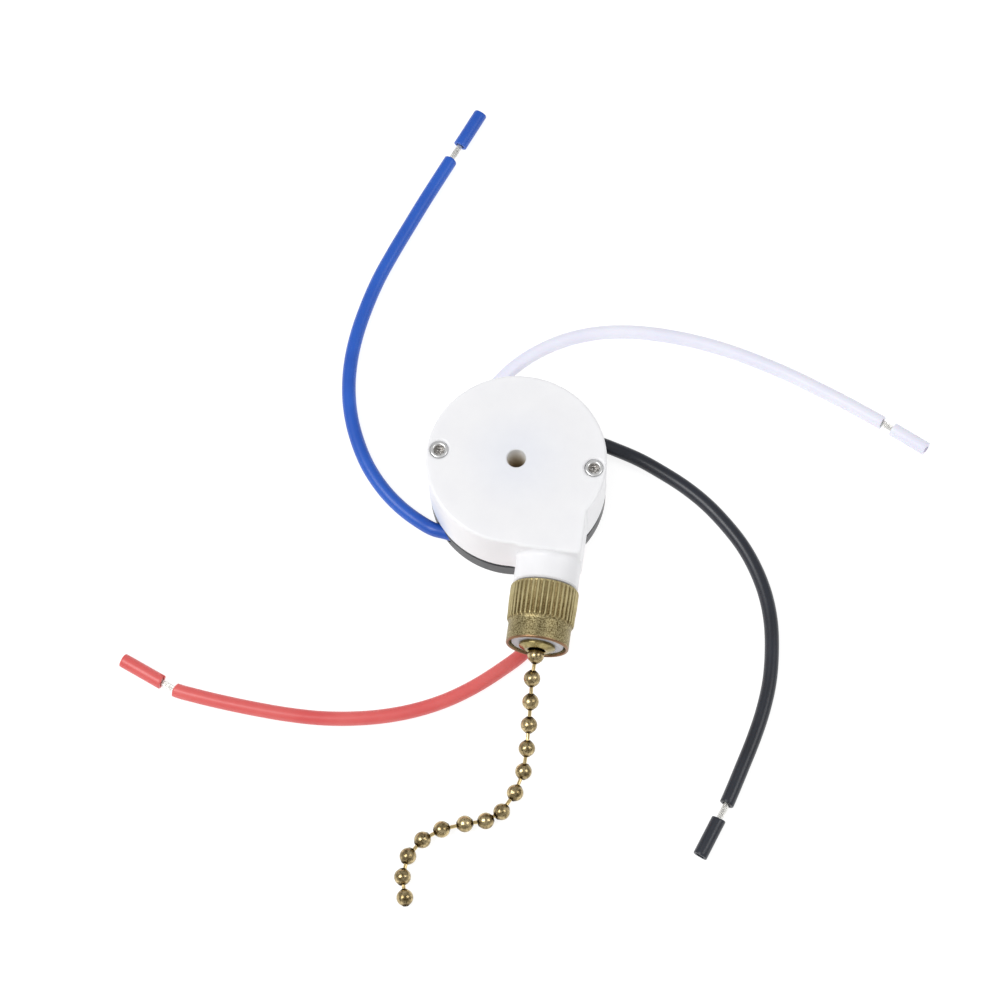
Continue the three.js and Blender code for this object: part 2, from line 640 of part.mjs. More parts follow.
function freeBeads() {
  const beads = [[NECK_X, FIRST_BEAD_Y, NECK_Z]];
  CHAIN_HEADINGS.forEach((heading, i) => {
    const [x, y, z] = beads[i];
    const nextZ = CHAIN_HEIGHTS[Math.min(i + 1, CHAIN_HEIGHTS.length - 1)];
    const spacing = i < TAUT_LINKS ? LINK_TAUT : SLACK_SPACINGS[i - TAUT_LINKS];
    const step = Math.sqrt(spacing ** 2 - (nextZ - z) ** 2);
    const angle = radians(heading);
    beads.push([x + step * Math.sin(angle), y - step * Math.cos(angle), nextZ]);
  });
  return beads;
}

function makeFreeChain() {
  const beads = freeBeads();
  return beads.map((center, i) => named(`chain_bead_${String(i + 1).padStart(2, '0')}`,
    geometryOf(beadWithLink(center, beads[i + 1])), ANTIQUE_BRASS));
}

function makeInnerRun() {
  const beads = [];
  for (let i = 0; i <= BEADS_IN_NECK; i += 1) {
    beads.push([NECK_X, FIRST_BEAD_Y + (BEADS_IN_NECK - i) * LINK_TAUT, NECK_Z]);
  }
  const solids = beads.slice(0, -1).map((center, i) => {
    const last = i === BEADS_IN_NECK - 1;
    const bead = beadWithLink(center, beads[i + 1]);
    if (last) return bead;
    return bead.add(bar(LINK_R, center, beads[i + 1], 6));
  });
  return named('chain_inner_run', geometryOf(joined(solids)), ANTIQUE_BRASS);
}

function makeChainOnWheel() {
  const firstY = FIRST_BEAD_Y + BEADS_IN_NECK * LINK_TAUT;
  const start = (LINK_TAUT + firstY) / NECK_X;
  const step = 2 * Math.asin(LINK_TAUT / 2 / NECK_X);
  const beads = [];
  for (let i = 0; i < BEADS_ON_WHEEL; i += 1) {
    const angle = start + i * step;
    beads.push([NECK_X * Math.cos(angle), NECK_X * Math.sin(angle), NECK_Z]);
  }
  const solids = beads.map((center, i) => {
    if (i === 0) return ball(center);
    return ball(center).add(bar(LINK_R, beads[i - 1], center, 6));
  });
  return named('chain_on_wheel', geometryOf(joined(solids)), ANTIQUE_BRASS);
}

// ---------- assembly ----------

const pullChainSwitch = new THREE.Group();
pullChainSwitch.add(
  makeBase(),
  makeCap(),
  makeRivet('rivet_left', -RIVET_X),
  makeRivet('rivet_right', RIVET_X),
  makeBellMouth(),
  makeNut(),
  makeWheel(),
  makeReturnSpring(),
  makeRotor(),
  makeMovingContact(),
  makeWaveWasher(),
  makeLeaf('detent_leaf_back', 1),
  makeLeaf('detent_leaf_front', -1),
  ...WIRES.map(makeTerminal),
  ...WIRES.map(makeClamp),
  ...WIRES.flatMap(makeWire),
  makeChainOnWheel(),
  makeInnerRun(),
  ...makeFreeChain(),
);

export default pullChainSwitch;
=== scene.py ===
"""The look of a pull-chain switch for a ceiling fan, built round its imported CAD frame.

Every piece is placed in the row frame: the origin is the centre of the base's underside,
the neck and chain point along -Y and the round face of the cap looks up along +Z.
"""

import json
import math

import bmesh
import bpy
from mathutils import Matrix, Vector


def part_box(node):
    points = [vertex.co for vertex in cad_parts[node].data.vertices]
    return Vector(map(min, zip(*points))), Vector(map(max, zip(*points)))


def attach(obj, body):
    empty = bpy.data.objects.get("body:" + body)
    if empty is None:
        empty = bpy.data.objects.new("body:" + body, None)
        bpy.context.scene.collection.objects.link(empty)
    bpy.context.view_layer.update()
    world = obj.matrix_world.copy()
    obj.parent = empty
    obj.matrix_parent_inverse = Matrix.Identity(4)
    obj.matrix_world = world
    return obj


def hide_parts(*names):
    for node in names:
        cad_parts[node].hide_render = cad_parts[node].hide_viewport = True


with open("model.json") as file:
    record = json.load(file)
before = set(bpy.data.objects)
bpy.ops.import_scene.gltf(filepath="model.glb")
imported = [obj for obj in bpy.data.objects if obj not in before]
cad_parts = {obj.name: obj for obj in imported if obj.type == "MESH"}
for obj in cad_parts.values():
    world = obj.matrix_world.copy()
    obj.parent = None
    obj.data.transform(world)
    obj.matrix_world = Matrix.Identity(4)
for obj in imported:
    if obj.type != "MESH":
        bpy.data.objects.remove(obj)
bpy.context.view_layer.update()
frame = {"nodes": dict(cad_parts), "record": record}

MM = 0.001

# ---------- sizes, in millimetres ----------

CAP_LOW, CAP_HIGH = (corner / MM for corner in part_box("top_cap"))
NUT_LOW, NUT_HIGH = (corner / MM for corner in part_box("cap_nut"))
BASE_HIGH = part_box("base_plate")[1] / MM
BELL_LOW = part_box("bell_mouth")[0] / MM
RIVET_LOW, RIVET_HIGH = (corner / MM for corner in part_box("rivet_right"))

DISC_R = CAP_HIGH.x
CAP_TOP = CAP_HIGH.z
BASE_R = BASE_HIGH.x
WIRE_RIM_R = 17.2
BASE_H = 5.1
CAP_BOTTOM = 5.4
CAVITY_R = 15.6
CAVITY_TOP = 16.7
POST_R = 3.0
POST_BORE_R = 1.85

NECK_X = (NUT_LOW.x + NUT_HIGH.x) / 2
NECK_Z = (NUT_LOW.z + NUT_HIGH.z) / 2
BOSS_HALF = 6.3
BOSS_END_Y = -17.8
COLLAR_R = 6.3
COLLAR_END_Y = -23.0
NECK_END_Y = CAP_LOW.y
THREAD_R = 5.15
THREAD_DEPTH = 0.45
THREAD_PITCH = 0.94

RIVET_X = (RIVET_LOW.x + RIVET_HIGH.x) / 2
COUNTERBORE_R = 1.95
COUNTERBORE_DEPTH = 0.85
RIVET_HOLE_R = 1.45
RIVET_PILLAR_R = 2.7

NUT_R = (NUT_HIGH.x - NUT_LOW.x) / 2
NUT_SMOOTH_R = 6.05
NUT_BORE_R = 5.45
NUT_SHOULDER_Y = -30.0
NUT_RIDGES = 40

BEAD_R = 1.6
LINK_R = 0.36
LINK_TAUT = 4.5
FIRST_BEAD_Y = -36.8
BEADS_IN_NECK = 8
BEADS_ON_WHEEL = 7

WIRE_R = 1.4
WIRE_BORE_R = 0.85
WIRE_EXIT_Z = 2.6
WIRE_LEAN = -48
WIRE_HOLE_R = 1.68
INSULATION_IN = 2.2
CONDUCTOR_IN = 8.2
CONDUCTOR_IN_SLUG = 5.2

# A wire's azimuth is where it leaves the rim, and its route is its centre line outside the
# base. Past the route come a bare length and the cut slug, along the tail's direction.
WIRES = {
    "blue": {
        "azimuth": 220,
        "route": [(-18.1, -9.4, 2.0), (-22.3, -6.8, 1.5), (-26.5, -3.3, 1.42),
                  (-30.4, 1.3, 1.42), (-33.4, 6.5, 1.42), (-35.6, 12.0, 1.42),
                  (-36.9, 17.6, 1.42), (-37.4, 23.6, 1.42), (-37.1, 29.8, 1.42),
                  (-36.1, 36.2, 1.42), (-34.6, 42.6, 1.42), (-32.5, 49.0, 1.42),
                  (-30.2, 55.3, 1.42), (-27.8, 61.7, 1.42), (-25.7, 67.0, 1.42),
                  (-23.9, 71.5, 1.42)],
        "tail": (2.4, 6.0), "bare": 3.9, "slug": 8.5,
    },
    "red": {
        "azimuth": 313,
        "route": [(11.2, -18.6, 2.0), (10.4, -23.4, 1.5), (8.6, -28.4, 1.42),
                  (5.5, -33.6, 1.42), (1.6, -37.6, 1.42), (-2.9, -41.5, 1.42),
                  (-7.9, -44.9, 1.42), (-13.4, -47.6, 1.42), (-19.3, -49.6, 1.42),
                  (-25.4, -50.9, 1.42), (-31.6, -51.6, 1.42), (-38.0, -51.7, 1.42),
                  (-44.4, -51.4, 1.42), (-50.6, -50.9, 1.42), (-56.0, -50.3, 1.42),
                  (-60.4, -49.6, 1.42)],
        "tail": (-8.2, 3.4), "bare": 3.0, "slug": 9.0,
    },
    "black": {
        "azimuth": 43,
        "route": [(18.5, 10.8, 2.0), (23.2, 9.5, 1.5), (28.0, 7.4, 1.42),
                  (32.8, 4.9, 1.42), (37.4, 1.8, 1.42), (41.6, -1.9, 1.42),
                  (45.4, -6.0, 1.42), (48.5, -10.6, 1.42), (50.9, -15.6, 1.42),
                  (52.5, -21.0, 1.42), (53.3, -26.8, 1.42), (53.5, -32.8, 1.42),
                  (52.9, -38.8, 1.42), (51.7, -44.7, 1.42), (50.1, -50.7, 1.42),
                  (47.9, -58.4, 1.42)],
        "tail": (-4.2, -11.5), "bare": 3.3, "slug": 8.0,
    },
    "white": {
        "azimuth": 133,
        "route": [(-9.9, 17.2, 2.0), (-7.8, 21.5, 1.5), (-4.6, 26.1, 1.42),
                  (-0.3, 30.2, 1.42), (5.2, 33.7, 1.42), (11.4, 36.0, 1.42),
                  (18.0, 37.1, 1.42), (24.8, 37.2, 1.42), (31.6, 36.6, 1.42),
                  (38.2, 35.4, 1.42), (44.6, 33.7, 1.42), (50.8, 31.7, 1.42),
                  (56.8, 29.4, 1.42), (62.2, 27.2, 1.42), (66.5, 25.3, 1.42),
                  (70.3, 23.6, 1.42)],
        "tail": (9.1, -4.5), "bare": 2.3, "slug": 7.9,
    },
}

# Each free link's heading in degrees (0 is straight out of the neck, positive turns
# towards +X), and the heights of the first beads. The rest lie at the last height.
CHAIN_HEADINGS = [-3, 3, 3, 2, -2, -13, -27, -52, -74, -69, -53, -33, -6, 15]
CHAIN_HEIGHTS = [NECK_Z, 9.2, 7.1, 5.0, 3.7, 1.65]
TAUT_LINKS = 7
SLACK_SPACINGS = [3.5, 4.0, 4.5, 4.15, 4.15, 4.1, 4.0]


# ---------- camera, floor and light ----------

TARGET = Vector((-2.76, -4.99, 8.0)) * MM
CAMERA_DISTANCE = 0.5361
CAMERA_AZIMUTH = 11.67
CAMERA_ELEVATION = 68.76
CAMERA_ROLL = -4.06
CAMERA_LENS = 98.5
LIGHT_DISTANCE = 0.8
FLOOR_REACH = 12.0
FLOOR_GAP = 0.0002


def view_axes():
    """The camera's right, up and backward directions."""
    azimuth = math.radians(CAMERA_AZIMUTH)
    elevation = math.radians(CAMERA_ELEVATION)
    roll = math.radians(CAMERA_ROLL)
    back = Vector((math.sin(azimuth) * math.cos(elevation),
                   -math.cos(azimuth) * math.cos(elevation), math.sin(elevation)))
    side = Vector((0, 0, 1)).cross(back).normalized()
    above = back.cross(side)
    right = side * math.cos(roll) + above * math.sin(roll)
    return right, above * math.cos(roll) - side * math.sin(roll), back


def make_camera():
    right, top, back = view_axes()
    data = bpy.data.cameras.new("camera")
    data.sensor_width = 36
    data.lens = CAMERA_LENS
    data.clip_start = 0.01
    data.clip_end = 20
    camera = bpy.data.objects.new("camera", data)
    bpy.context.scene.collection.objects.link(camera)
    place = Matrix((right, top, back)).transposed().to_4x4()
    place.translation = TARGET + back * CAMERA_DISTANCE
    camera.matrix_world = place
    bpy.context.scene.camera = camera


def softbox(name, turn, lift, size, power):
    """A soft light beside the camera: turn degrees to its right, lift degrees above it."""
    right, top, back = view_axes()
    turn, lift = math.radians(turn), math.radians(lift)
    level = back * math.cos(turn) + right * math.sin(turn)
    direction = level * math.cos(lift) + top * math.sin(lift)
    data = bpy.data.lights.new(name, "AREA")
    data.shape = "RECTANGLE"
    data.size, data.size_y = size
    data.energy = power
    light = bpy.data.objects.new(name, data)
    light.location = TARGET + direction * LIGHT_DISTANCE
    light.rotation_euler = direction.to_track_quat("Z", "Y").to_euler()
    bpy.context.scene.collection.objects.link(light)


def make_studio():
    world = bpy.data.worlds.new("studio")
    world.use_nodes = True
    sky = world.node_tree.nodes["Background"]
    sky.inputs["Color"].default_value = (1, 1, 1, 1)
    sky.inputs["Strength"].default_value = 0.45
    bpy.context.scene.world = world
    bpy.context.scene.view_settings.view_transform = "Standard"
    softbox("key", -32, 8, (0.34, 0.42), 3.5)
    softbox("fill", 42, 12, (0.24, 0.4), 1.15)

    data = bpy.data.meshes.new("floor")
    corners = [(x * FLOOR_REACH, y * FLOOR_REACH, 0)
               for x, y in ((-1, -1), (1, -1), (1, 1), (-1, 1))]
    data.from_pydata(corners, [], [(0, 1, 2, 3)])
    floor = bpy.data.objects.new("floor", data)
    floor.location.z = -FLOOR_GAP
    bpy.context.scene.collection.objects.link(floor)
    material = bpy.data.materials.new("floor_white")
    material.use_nodes = True
    shader = material.node_tree.nodes["Principled BSDF"]
    shader.inputs["Base Color"].default_value = (0.35, 0.35, 0.35, 1)
    shader.inputs["Roughness"].default_value = 0.9
    shader.inputs["Specular IOR Level"].default_value = 0.0
    shader.inputs["Emission Color"].default_value = (1, 1, 1, 1)
    shader.inputs["Emission Strength"].default_value = 0.84
    data.materials.append(material)


# ---------- materials ----------

class Shader:
    """A new material and short ways to add nodes to it."""

    def __init__(self, name):
        self.material = bpy.data.materials.new(name)
        self.material.use_nodes = True
        self.tree = self.material.node_tree
        self.out = self.tree.nodes["Principled BSDF"]
        self.coords = self.tree.nodes.new("ShaderNodeTexCoord").outputs["Object"]

    def set(self, **values):
        for name, value in values.items():
            self.out.inputs[name.replace("_", " ")].default_value = value
        return self

    def feed(self, socket, value):
        """Links another node's output to a socket, or sets the socket's own value."""
        if isinstance(value, bpy.types.NodeSocket):
            self.tree.links.new(value, socket)
        else:
            socket.default_value = value

    def node(self, kind, settings=None, **inputs):
        node = self.tree.nodes.new(kind)
        for name, value in (settings or {}).items():
            setattr(node, name, value)
        for name, value in inputs.items():
            self.feed(node.inputs[name.replace("_", " ")], value)
        return node

    def noise(self, scale, detail=4.0, roughness=0.55, coords=None):
        return self.node("ShaderNodeTexNoise", Vector=coords or self.coords, Scale=scale,
                         Detail=detail, Roughness=roughness).outputs["Fac"]

    def ramp(self, fac, low, high, colors=((0, 0, 0, 1), (1, 1, 1, 1))):
        node = self.node("ShaderNodeValToRGB", Fac=fac)
        for element, place, color in zip(node.color_ramp.elements, (low, high), colors):
            element.position = place
            element.color = color
        return node.outputs["Color"]

    def math(self, operation, a, b=0.0):
        node = self.tree.nodes.new("ShaderNodeMath")
        node.operation = operation
        for socket, value in zip(node.inputs, (a, b)):
            self.feed(socket, value)
        return node.outputs[0]

    def mix(self, fac, a, b):
        node = self.tree.nodes.new("ShaderNodeMix")
        node.data_type = "RGBA"
        for socket, value in ((node.inputs[0], fac), (node.inputs[6], a), (node.inputs[7], b)):
            self.feed(socket, value)
        return node.outputs[2]

    def distance_from(self, point, scale):
        """Distance from a point in millimetres, with each axis weighted by scale."""
        moved = self.node("ShaderNodeVectorMath", {"operation": "SUBTRACT"})
        self.tree.links.new(self.coords, moved.inputs[0])
        moved.inputs[1].default_value = Vector(point) * MM
        sized = self.node("ShaderNodeVectorMath", {"operation": "MULTIPLY"})
        self.tree.links.new(moved.outputs[0], sized.inputs[0])
        sized.inputs[1].default_value = Vector(scale) / MM
        length = self.node("ShaderNodeVectorMath", {"operation": "LENGTH"})
        self.tree.links.new(sized.outputs[0], length.inputs[0])
        return length.outputs["Value"]

    def color(self, socket):
        self.tree.links.new(socket, self.out.inputs["Base Color"])
        return self

    def rough(self, socket, low, high):
        spread = self.node("ShaderNodeMapRange", Value=socket, To_Min=low, To_Max=high)
        self.tree.links.new(spread.outputs[0], self.out.inputs["Roughness"])
        return self

    def bump(self, height, depth):
        node = self.node("ShaderNodeBump", Height=height, Distance=depth * MM, Strength=1.0)
        self.tree.links.new(node.outputs[0], self.out.inputs["Normal"])
        return self


def nylon():
    shader = Shader("nylon_white")
    cloud = shader.noise(160, 3)
    white = shader.mix(cloud, (0.86, 0.86, 0.885, 1), (0.93, 0.93, 0.945, 1))
    # Painted shade: a faint bluish-grey darkening round the hub, standing for the mechanism's
    # shade seen through the translucent cap.
    hub = shader.distance_from((0, 0, CAP_TOP), (1, 1, 0.4))
    shade = shader.ramp(shader.math("DIVIDE", hub, 12), 0.18, 0.95,
                        ((0.93, 0.945, 0.98, 1), (1, 1, 1, 1)))
    hub_shaded = shader.node("ShaderNodeMix", {"data_type": "RGBA", "blend_type": "MULTIPLY"})
    hub_shaded.inputs[0].default_value = 1.0
    shader.tree.links.new(white, hub_shaded.inputs[6])
    shader.tree.links.new(shade, hub_shaded.inputs[7])
    # Painted light: a blue glow on the wall near the blue wire's exit, standing for the wire's
    # colour shining through the nylon.
    wire = shader.distance_from((-14.6, -9.4, 6.0), (1, 1, 0.75))
    glow = shader.ramp(shader.math("DIVIDE", wire, 8), 0.1, 0.85, ((1, 1, 1, 1), (0, 0, 0, 1)))
    faint_glow = shader.math("MULTIPLY", glow, 0.42)
    outside = shader.mix(faint_glow, hub_shaded.outputs[2], (0.45, 0.6, 0.93, 1))
    place = shader.node("ShaderNodeSeparateXYZ", Vector=shader.coords).outputs
    # Painted shade: down the centre hole the colour turns warmer and darker with depth, standing
    # for the shade inside the hole.
    depth = shader.math("DIVIDE", shader.math("SUBTRACT", CAP_TOP * MM, place["Z"]), 9 * MM)
    bore = shader.node("ShaderNodeValToRGB", Fac=depth)
    stops = bore.color_ramp.elements
    stops[0].position, stops[0].color = 0.03, (0.86, 0.86, 0.87, 1)
    stops[1].position, stops[1].color = 1.0, (0.68, 0.53, 0.32, 1)
    for at, tone in ((0.16, (0.9, 0.89, 0.87, 1)), (0.45, (0.88, 0.82, 0.73, 1)),
                     (0.75, (0.84, 0.73, 0.56, 1))):
        stops.new(at).color = tone
    in_bore = shader.math("LESS_THAN", shader.distance_from((0, 0, 0), (1, 1, 0)),
                          POST_BORE_R + 0.06)
    with_bore_shade = shader.mix(in_bore, outside, bore.outputs["Color"])
    # Painted shade: the neck's end face, which faces away from the lights, is coloured grey.
    neck_end_shade = shader.math("LESS_THAN", place["Y"], (NECK_END_Y + 0.12) * MM)
    shader.color(shader.mix(neck_end_shade, with_bore_shade, (0.5, 0.5, 0.53, 1)))
    shader.rough(shader.noise(420, 4), 0.32, 0.46)
    shader.bump(shader.noise(900, 3), 0.012)
    shader.set(Subsurface_Weight=0.35, Subsurface_Radius=(1, 1, 1),
               Subsurface_Scale=1.6 * MM, IOR=1.5)
    return shader.material


def phenolic():
    shader = Shader("phenolic_black")
    grain = shader.noise(700, 6)
    shader.color(shader.mix(grain, (0.018, 0.019, 0.022, 1), (0.045, 0.046, 0.052, 1)))
    shader.rough(shader.noise(300, 4), 0.32, 0.5)
    shader.bump(shader.noise(1500, 4), 0.015)
    return shader.material


def plated(name, dark, light, low, high, scale=500, bump=0.01):
    """A metal whose colour wanders between two tones, with fine grain."""
    shader = Shader(name)
    blotch = shader.noise(scale, 6, 0.6)
    shader.color(shader.mix(shader.ramp(blotch, 0.35, 0.68), (*dark, 1), (*light, 1)))
    shader.rough(shader.noise(scale * 2, 4), low, high)
    shader.bump(shader.noise(scale * 5, 3), bump)
    shader.set(Metallic=1.0)
    return shader.material


def rivet_nickel():
    """Bright nickel on the rolled rim; down inside the rivet's hole the colour goes dull and
    dark, as painted shade.
    """
    shader = Shader("nickel")
    blotch = shader.noise(900, 6, 0.6)
    bright = shader.mix(blotch, (0.8, 0.8, 0.8, 1), (0.97, 0.97, 0.96, 1))
    height = shader.node("ShaderNodeSeparateXYZ", Vector=shader.coords).outputs["Z"]
    # Painted shade: the colour darkens with depth down inside the hole.
    depth = shader.node("ShaderNodeMapRange", Value=height,
                        From_Min=(RIVET_HIGH.z - 0.25) * MM,
                        From_Max=(RIVET_HIGH.z - 0.85) * MM).outputs[0]
    shader.color(shader.mix(depth, bright, (0.38, 0.365, 0.35, 1)))
    shader.rough(blotch, 0.24, 0.4)
    shader.bump(shader.noise(2600, 3), 0.006)
    shader.set(Metallic=1.0)
    return shader.material


def antique_nut():
    """Antique brass: rubbed bright on the ridges, dark in the grooves, mottled below them."""
    shader = Shader("antique_brass_nut")
    radius = shader.distance_from((NECK_X, 0, NECK_Z), (1, 0, 1))
    crest = shader.node("ShaderNodeMapRange", Value=radius, From_Min=NUT_R - 0.36,
                        From_Max=NUT_R - 0.1).outputs[0]
    speckle = shader.noise(3200, 6, 0.7)
    blotch = shader.noise(260, 5, 0.6)
    patina = shader.mix(shader.ramp(speckle, 0.38, 0.66), (0.13, 0.09, 0.034, 1),
                        (0.37, 0.285, 0.13, 1))
    rubbed = shader.mix(shader.ramp(blotch, 0.3, 0.7), (0.42, 0.35, 0.175, 1),
                        (0.64, 0.56, 0.31, 1))
    along = shader.node("ShaderNodeSeparateXYZ", Vector=shader.coords).outputs["Y"]
    below = shader.node("ShaderNodeMapRange", Value=along,
                        From_Min=(NUT_SHOULDER_Y - 0.1) * MM,
                        From_Max=(NUT_SHOULDER_Y - 0.9) * MM).outputs[0]
    mottled = shader.mix(shader.ramp(speckle, 0.4, 0.62), (0.12, 0.088, 0.034, 1),
                         (0.52, 0.445, 0.24, 1))
    body = shader.mix(below, shader.mix(crest, patina, rubbed), mottled)
    lip = shader.node("ShaderNodeMapRange", Value=along, From_Min=(NUT_LOW.y + 0.5) * MM,
                      From_Max=(NUT_LOW.y + 0.25) * MM).outputs[0]
    shader.color(shader.mix(lip, body, (0.27, 0.155, 0.085, 1)))
    rough = shader.math("SUBTRACT", speckle, shader.math("MULTIPLY", lip, 0.6))
    shader.rough(rough, 0.32, 0.54)
    shader.bump(speckle, 0.045)
    shader.set(Metallic=1.0)
    return shader.material


def antique_bead():
    """A bead's own Z is the chain's line: the colour turns dark round the holes at its poles."""
    shader = Shader("antique_brass_bead")
    height = shader.node("ShaderNodeSeparateXYZ", Vector=shader.coords).outputs["Z"]
    pole = shader.math("DIVIDE", shader.math("ABSOLUTE", height), BEAD_R * MM)
    number = shader.node("ShaderNodeObjectInfo").outputs["Random"]
    moved = shader.node("ShaderNodeVectorMath", {"operation": "ADD"})
    shader.tree.links.new(shader.coords, moved.inputs[0])
    shader.tree.links.new(number, moved.inputs[1])
    blotch = shader.noise(650, 5, 0.6, moved.outputs[0])
    rubbed = shader.mix(shader.ramp(blotch, 0.38, 0.66), (0.20, 0.145, 0.064, 1),
                        (0.74, 0.595, 0.33, 1))
    pitting = shader.noise(3400, 3, 0.6, moved.outputs[0])
    brass = shader.mix(shader.ramp(pitting, 0.36, 0.46), (0.10, 0.07, 0.03, 1), rubbed)
    shader.color(shader.mix(shader.ramp(pole, 0.7, 0.97), brass, (0.06, 0.04, 0.018, 1)))
    shader.rough(blotch, 0.17, 0.34)
    shader.bump(pitting, 0.02)
    shader.set(Metallic=1.0)
    return shader.material


def pvc(name, deep, pale, low=0.3, high=0.42):
    shader = Shader(name)
    drift = shader.noise(90, 4)
    shader.color(shader.mix(shader.ramp(drift, 0.3, 0.7), (*deep, 1), (*pale, 1)))
    shader.rough(shader.noise(500, 3), low, high)
    shader.bump(shader.noise(700, 4), 0.02)
    shader.set(Subsurface_Weight=0.08, Subsurface_Scale=0.6 * MM, IOR=1.5)
    return shader.material


# ---------- mesh making ----------

def add_object(name, verts, faces, material, smooth_angle=35):
    """A mesh object from points in millimetres, shaded smooth up to an angle."""
    data = bpy.data.meshes.new(name)
    data.from_pydata([Vector(v) * MM for v in verts], [], faces)
    data.materials.append(material)
    obj = bpy.data.objects.new(name, data)
    bpy.context.scene.collection.objects.link(obj)
    tidy_mesh(obj, smooth_angle)
    return obj


def tidy_mesh(obj, smooth_angle):
    """Merges doubles, turns faces outward and marks the edges that stay sharp."""
    mesh = bmesh.new()
    mesh.from_mesh(obj.data)
    bmesh.ops.remove_doubles(mesh, verts=mesh.verts, dist=1e-7)
    bmesh.ops.recalc_face_normals(mesh, faces=mesh.faces)
    limit = math.radians(smooth_angle)
    for face in mesh.faces:
        face.smooth = True
    for edge in mesh.edges:
        if len(edge.link_faces) == 2:
            edge.smooth = edge.calc_face_angle(0) < limit
    mesh.to_mesh(obj.data)
    mesh.free()


def even_shading(obj):
    """Large flat faces keep flat shading next to their rounded edges."""
    modifier = obj.modifiers.new("even_shading", "WEIGHTED_NORMAL")
    modifier.keep_sharp = True
    modifier.weight = 100


def ring_faces(rows, count, closed_rows=False):
    """Quads between neighbouring rings of count points each."""
    faces = []
    last = rows if closed_rows else rows - 1
    for row in range(last):
        a = row * count
        b = (row + 1) % rows * count
        for i in range(count):
            j = (i + 1) % count
            faces.append((a + i, a + j, b + j, b + i))
    return faces


def lathe(name, outline, material, place=Matrix.Identity(4), sides=96, shape_at=None,
          smooth_angle=35):
    """A closed (radius, height) outline turned about Z, then put in place. shape_at can
    move a point of the outline by its angle."""
    verts = []
    for index, (radius, height) in enumerate(outline):
        for i in range(sides):
            angle = 2 * math.pi * i / sides
            r, z = shape_at(index, radius, height, angle) if shape_at else (radius, height)
            verts.append(place @ Vector((r * math.cos(angle), r * math.sin(angle), z)))
    faces = ring_faces(len(outline), sides, closed_rows=True)
    return add_object(name, verts, faces, material, smooth_angle)


def arc(center, radius, start, end, steps):
    """Points on an arc, angles in degrees, both ends included."""
    points = []
    for i in range(steps + 1):
        angle = math.radians(start + (end - start) * i / steps)
        points.append((center[0] + radius * math.cos(angle),
                       center[1] + radius * math.sin(angle)))
    return points


def smooth_step(value):
    value = max(0.0, min(1.0, value))
    return value * value * (3 - 2 * value)


def on_neck():
    """Puts a turned piece on the neck's axis, its height running along -Y."""
    return Matrix.Translation((NECK_X, 0, NECK_Z)) @ Matrix.Rotation(math.pi / 2, 4, "X")


def cut(obj, tool, operation="DIFFERENCE"):
    """Applies one boolean with a tool object, then removes the tool."""
    modifier = obj.modifiers.new("cut", "BOOLEAN")
    modifier.operation = operation
    modifier.solver = "EXACT"
    modifier.object = tool
    bpy.context.view_layer.update()
    graph = bpy.context.evaluated_depsgraph_get()
    result = bpy.data.meshes.new_from_object(obj.evaluated_get(graph))
    obj.modifiers.remove(modifier)
    obj.data = result
    bpy.data.objects.remove(tool)


def cylinder_tool(radius, low, high, x=0.0, sides=64, flare=0.0):
    """An upright cutting cylinder. flare widens its upper end, to chamfer what it cuts."""
    outline = [(0.0, low), (radius, low), (radius, high), (0.0, high)]
    if flare:
        outline[2:3] = [(radius, high - flare - 1), (radius + flare, high - 1),
                        (radius + flare, high)]
    return lathe("tool", outline, PLAIN, Matrix.Translation((x, 0, 0)), sides)


def box_tool(low, high, place):
    corners = [place @ Vector((x, y, z)) for z in (low[2], high[2])
               for x, y in ((low[0], low[1]), (high[0], low[1]), (high[0], high[1]),
                            (low[0], high[1]))]
    faces = [(0, 3, 2, 1), (4, 5, 6, 7), (0, 1, 5, 4), (1, 2, 6, 5), (2, 3, 7, 6), (3, 0, 4, 7)]
    return add_object("tool", corners, faces, PLAIN)


# ---------- housing ----------

def cap_outline(inset, circle_steps=150, corner_steps=7, blend_steps=14):
    """The cap seen from above: a disc that runs smoothly into the boss beside it, drawn in
    by inset."""
    radius = DISC_R - inset
    right = NECK_X + BOSS_HALF - inset
    end = BOSS_END_Y + inset
    corner = max(0.9 - inset, 0.05)
    blend_from, blend_to = 0.4, 4.2
    start = math.degrees(math.asin(-math.sqrt(radius ** 2 - right ** 2) / radius))
    stop = 360 - math.degrees(math.acos(blend_from / radius))
    points = arc((0, 0), radius, start, stop, circle_steps)
    for i in range(1, blend_steps + 1):
        share = i / blend_steps
        x = blend_from + (blend_to - blend_from) * share
        rim = -math.sqrt(radius ** 2 - x ** 2)
        points.append((x, rim + (end - rim) * smooth_step(share)))
    points += arc((right - corner, end + corner), corner, 270, 360, corner_steps)
    return points


def cap_shell():
    edge = 0.6
    steps = 7
    levels = [(0.12, CAP_BOTTOM), (0.0, CAP_BOTTOM + 0.12)]
    for i in range(steps + 1):
        angle = math.pi / 2 * i / steps
        levels.append((edge * (1 - math.cos(angle)), CAP_TOP - edge * (1 - math.sin(angle))))
    verts = []
    for inset, z in levels:
        verts += [(x, y, z) for x, y in cap_outline(inset)]
    count = len(cap_outline(0))
    faces = ring_faces(len(levels), count)
    faces.append(tuple(range(count)))
    faces.append(tuple(range(len(verts) - count, len(verts))))
    return add_object("top_cap_moulding", verts, faces, NYLON)


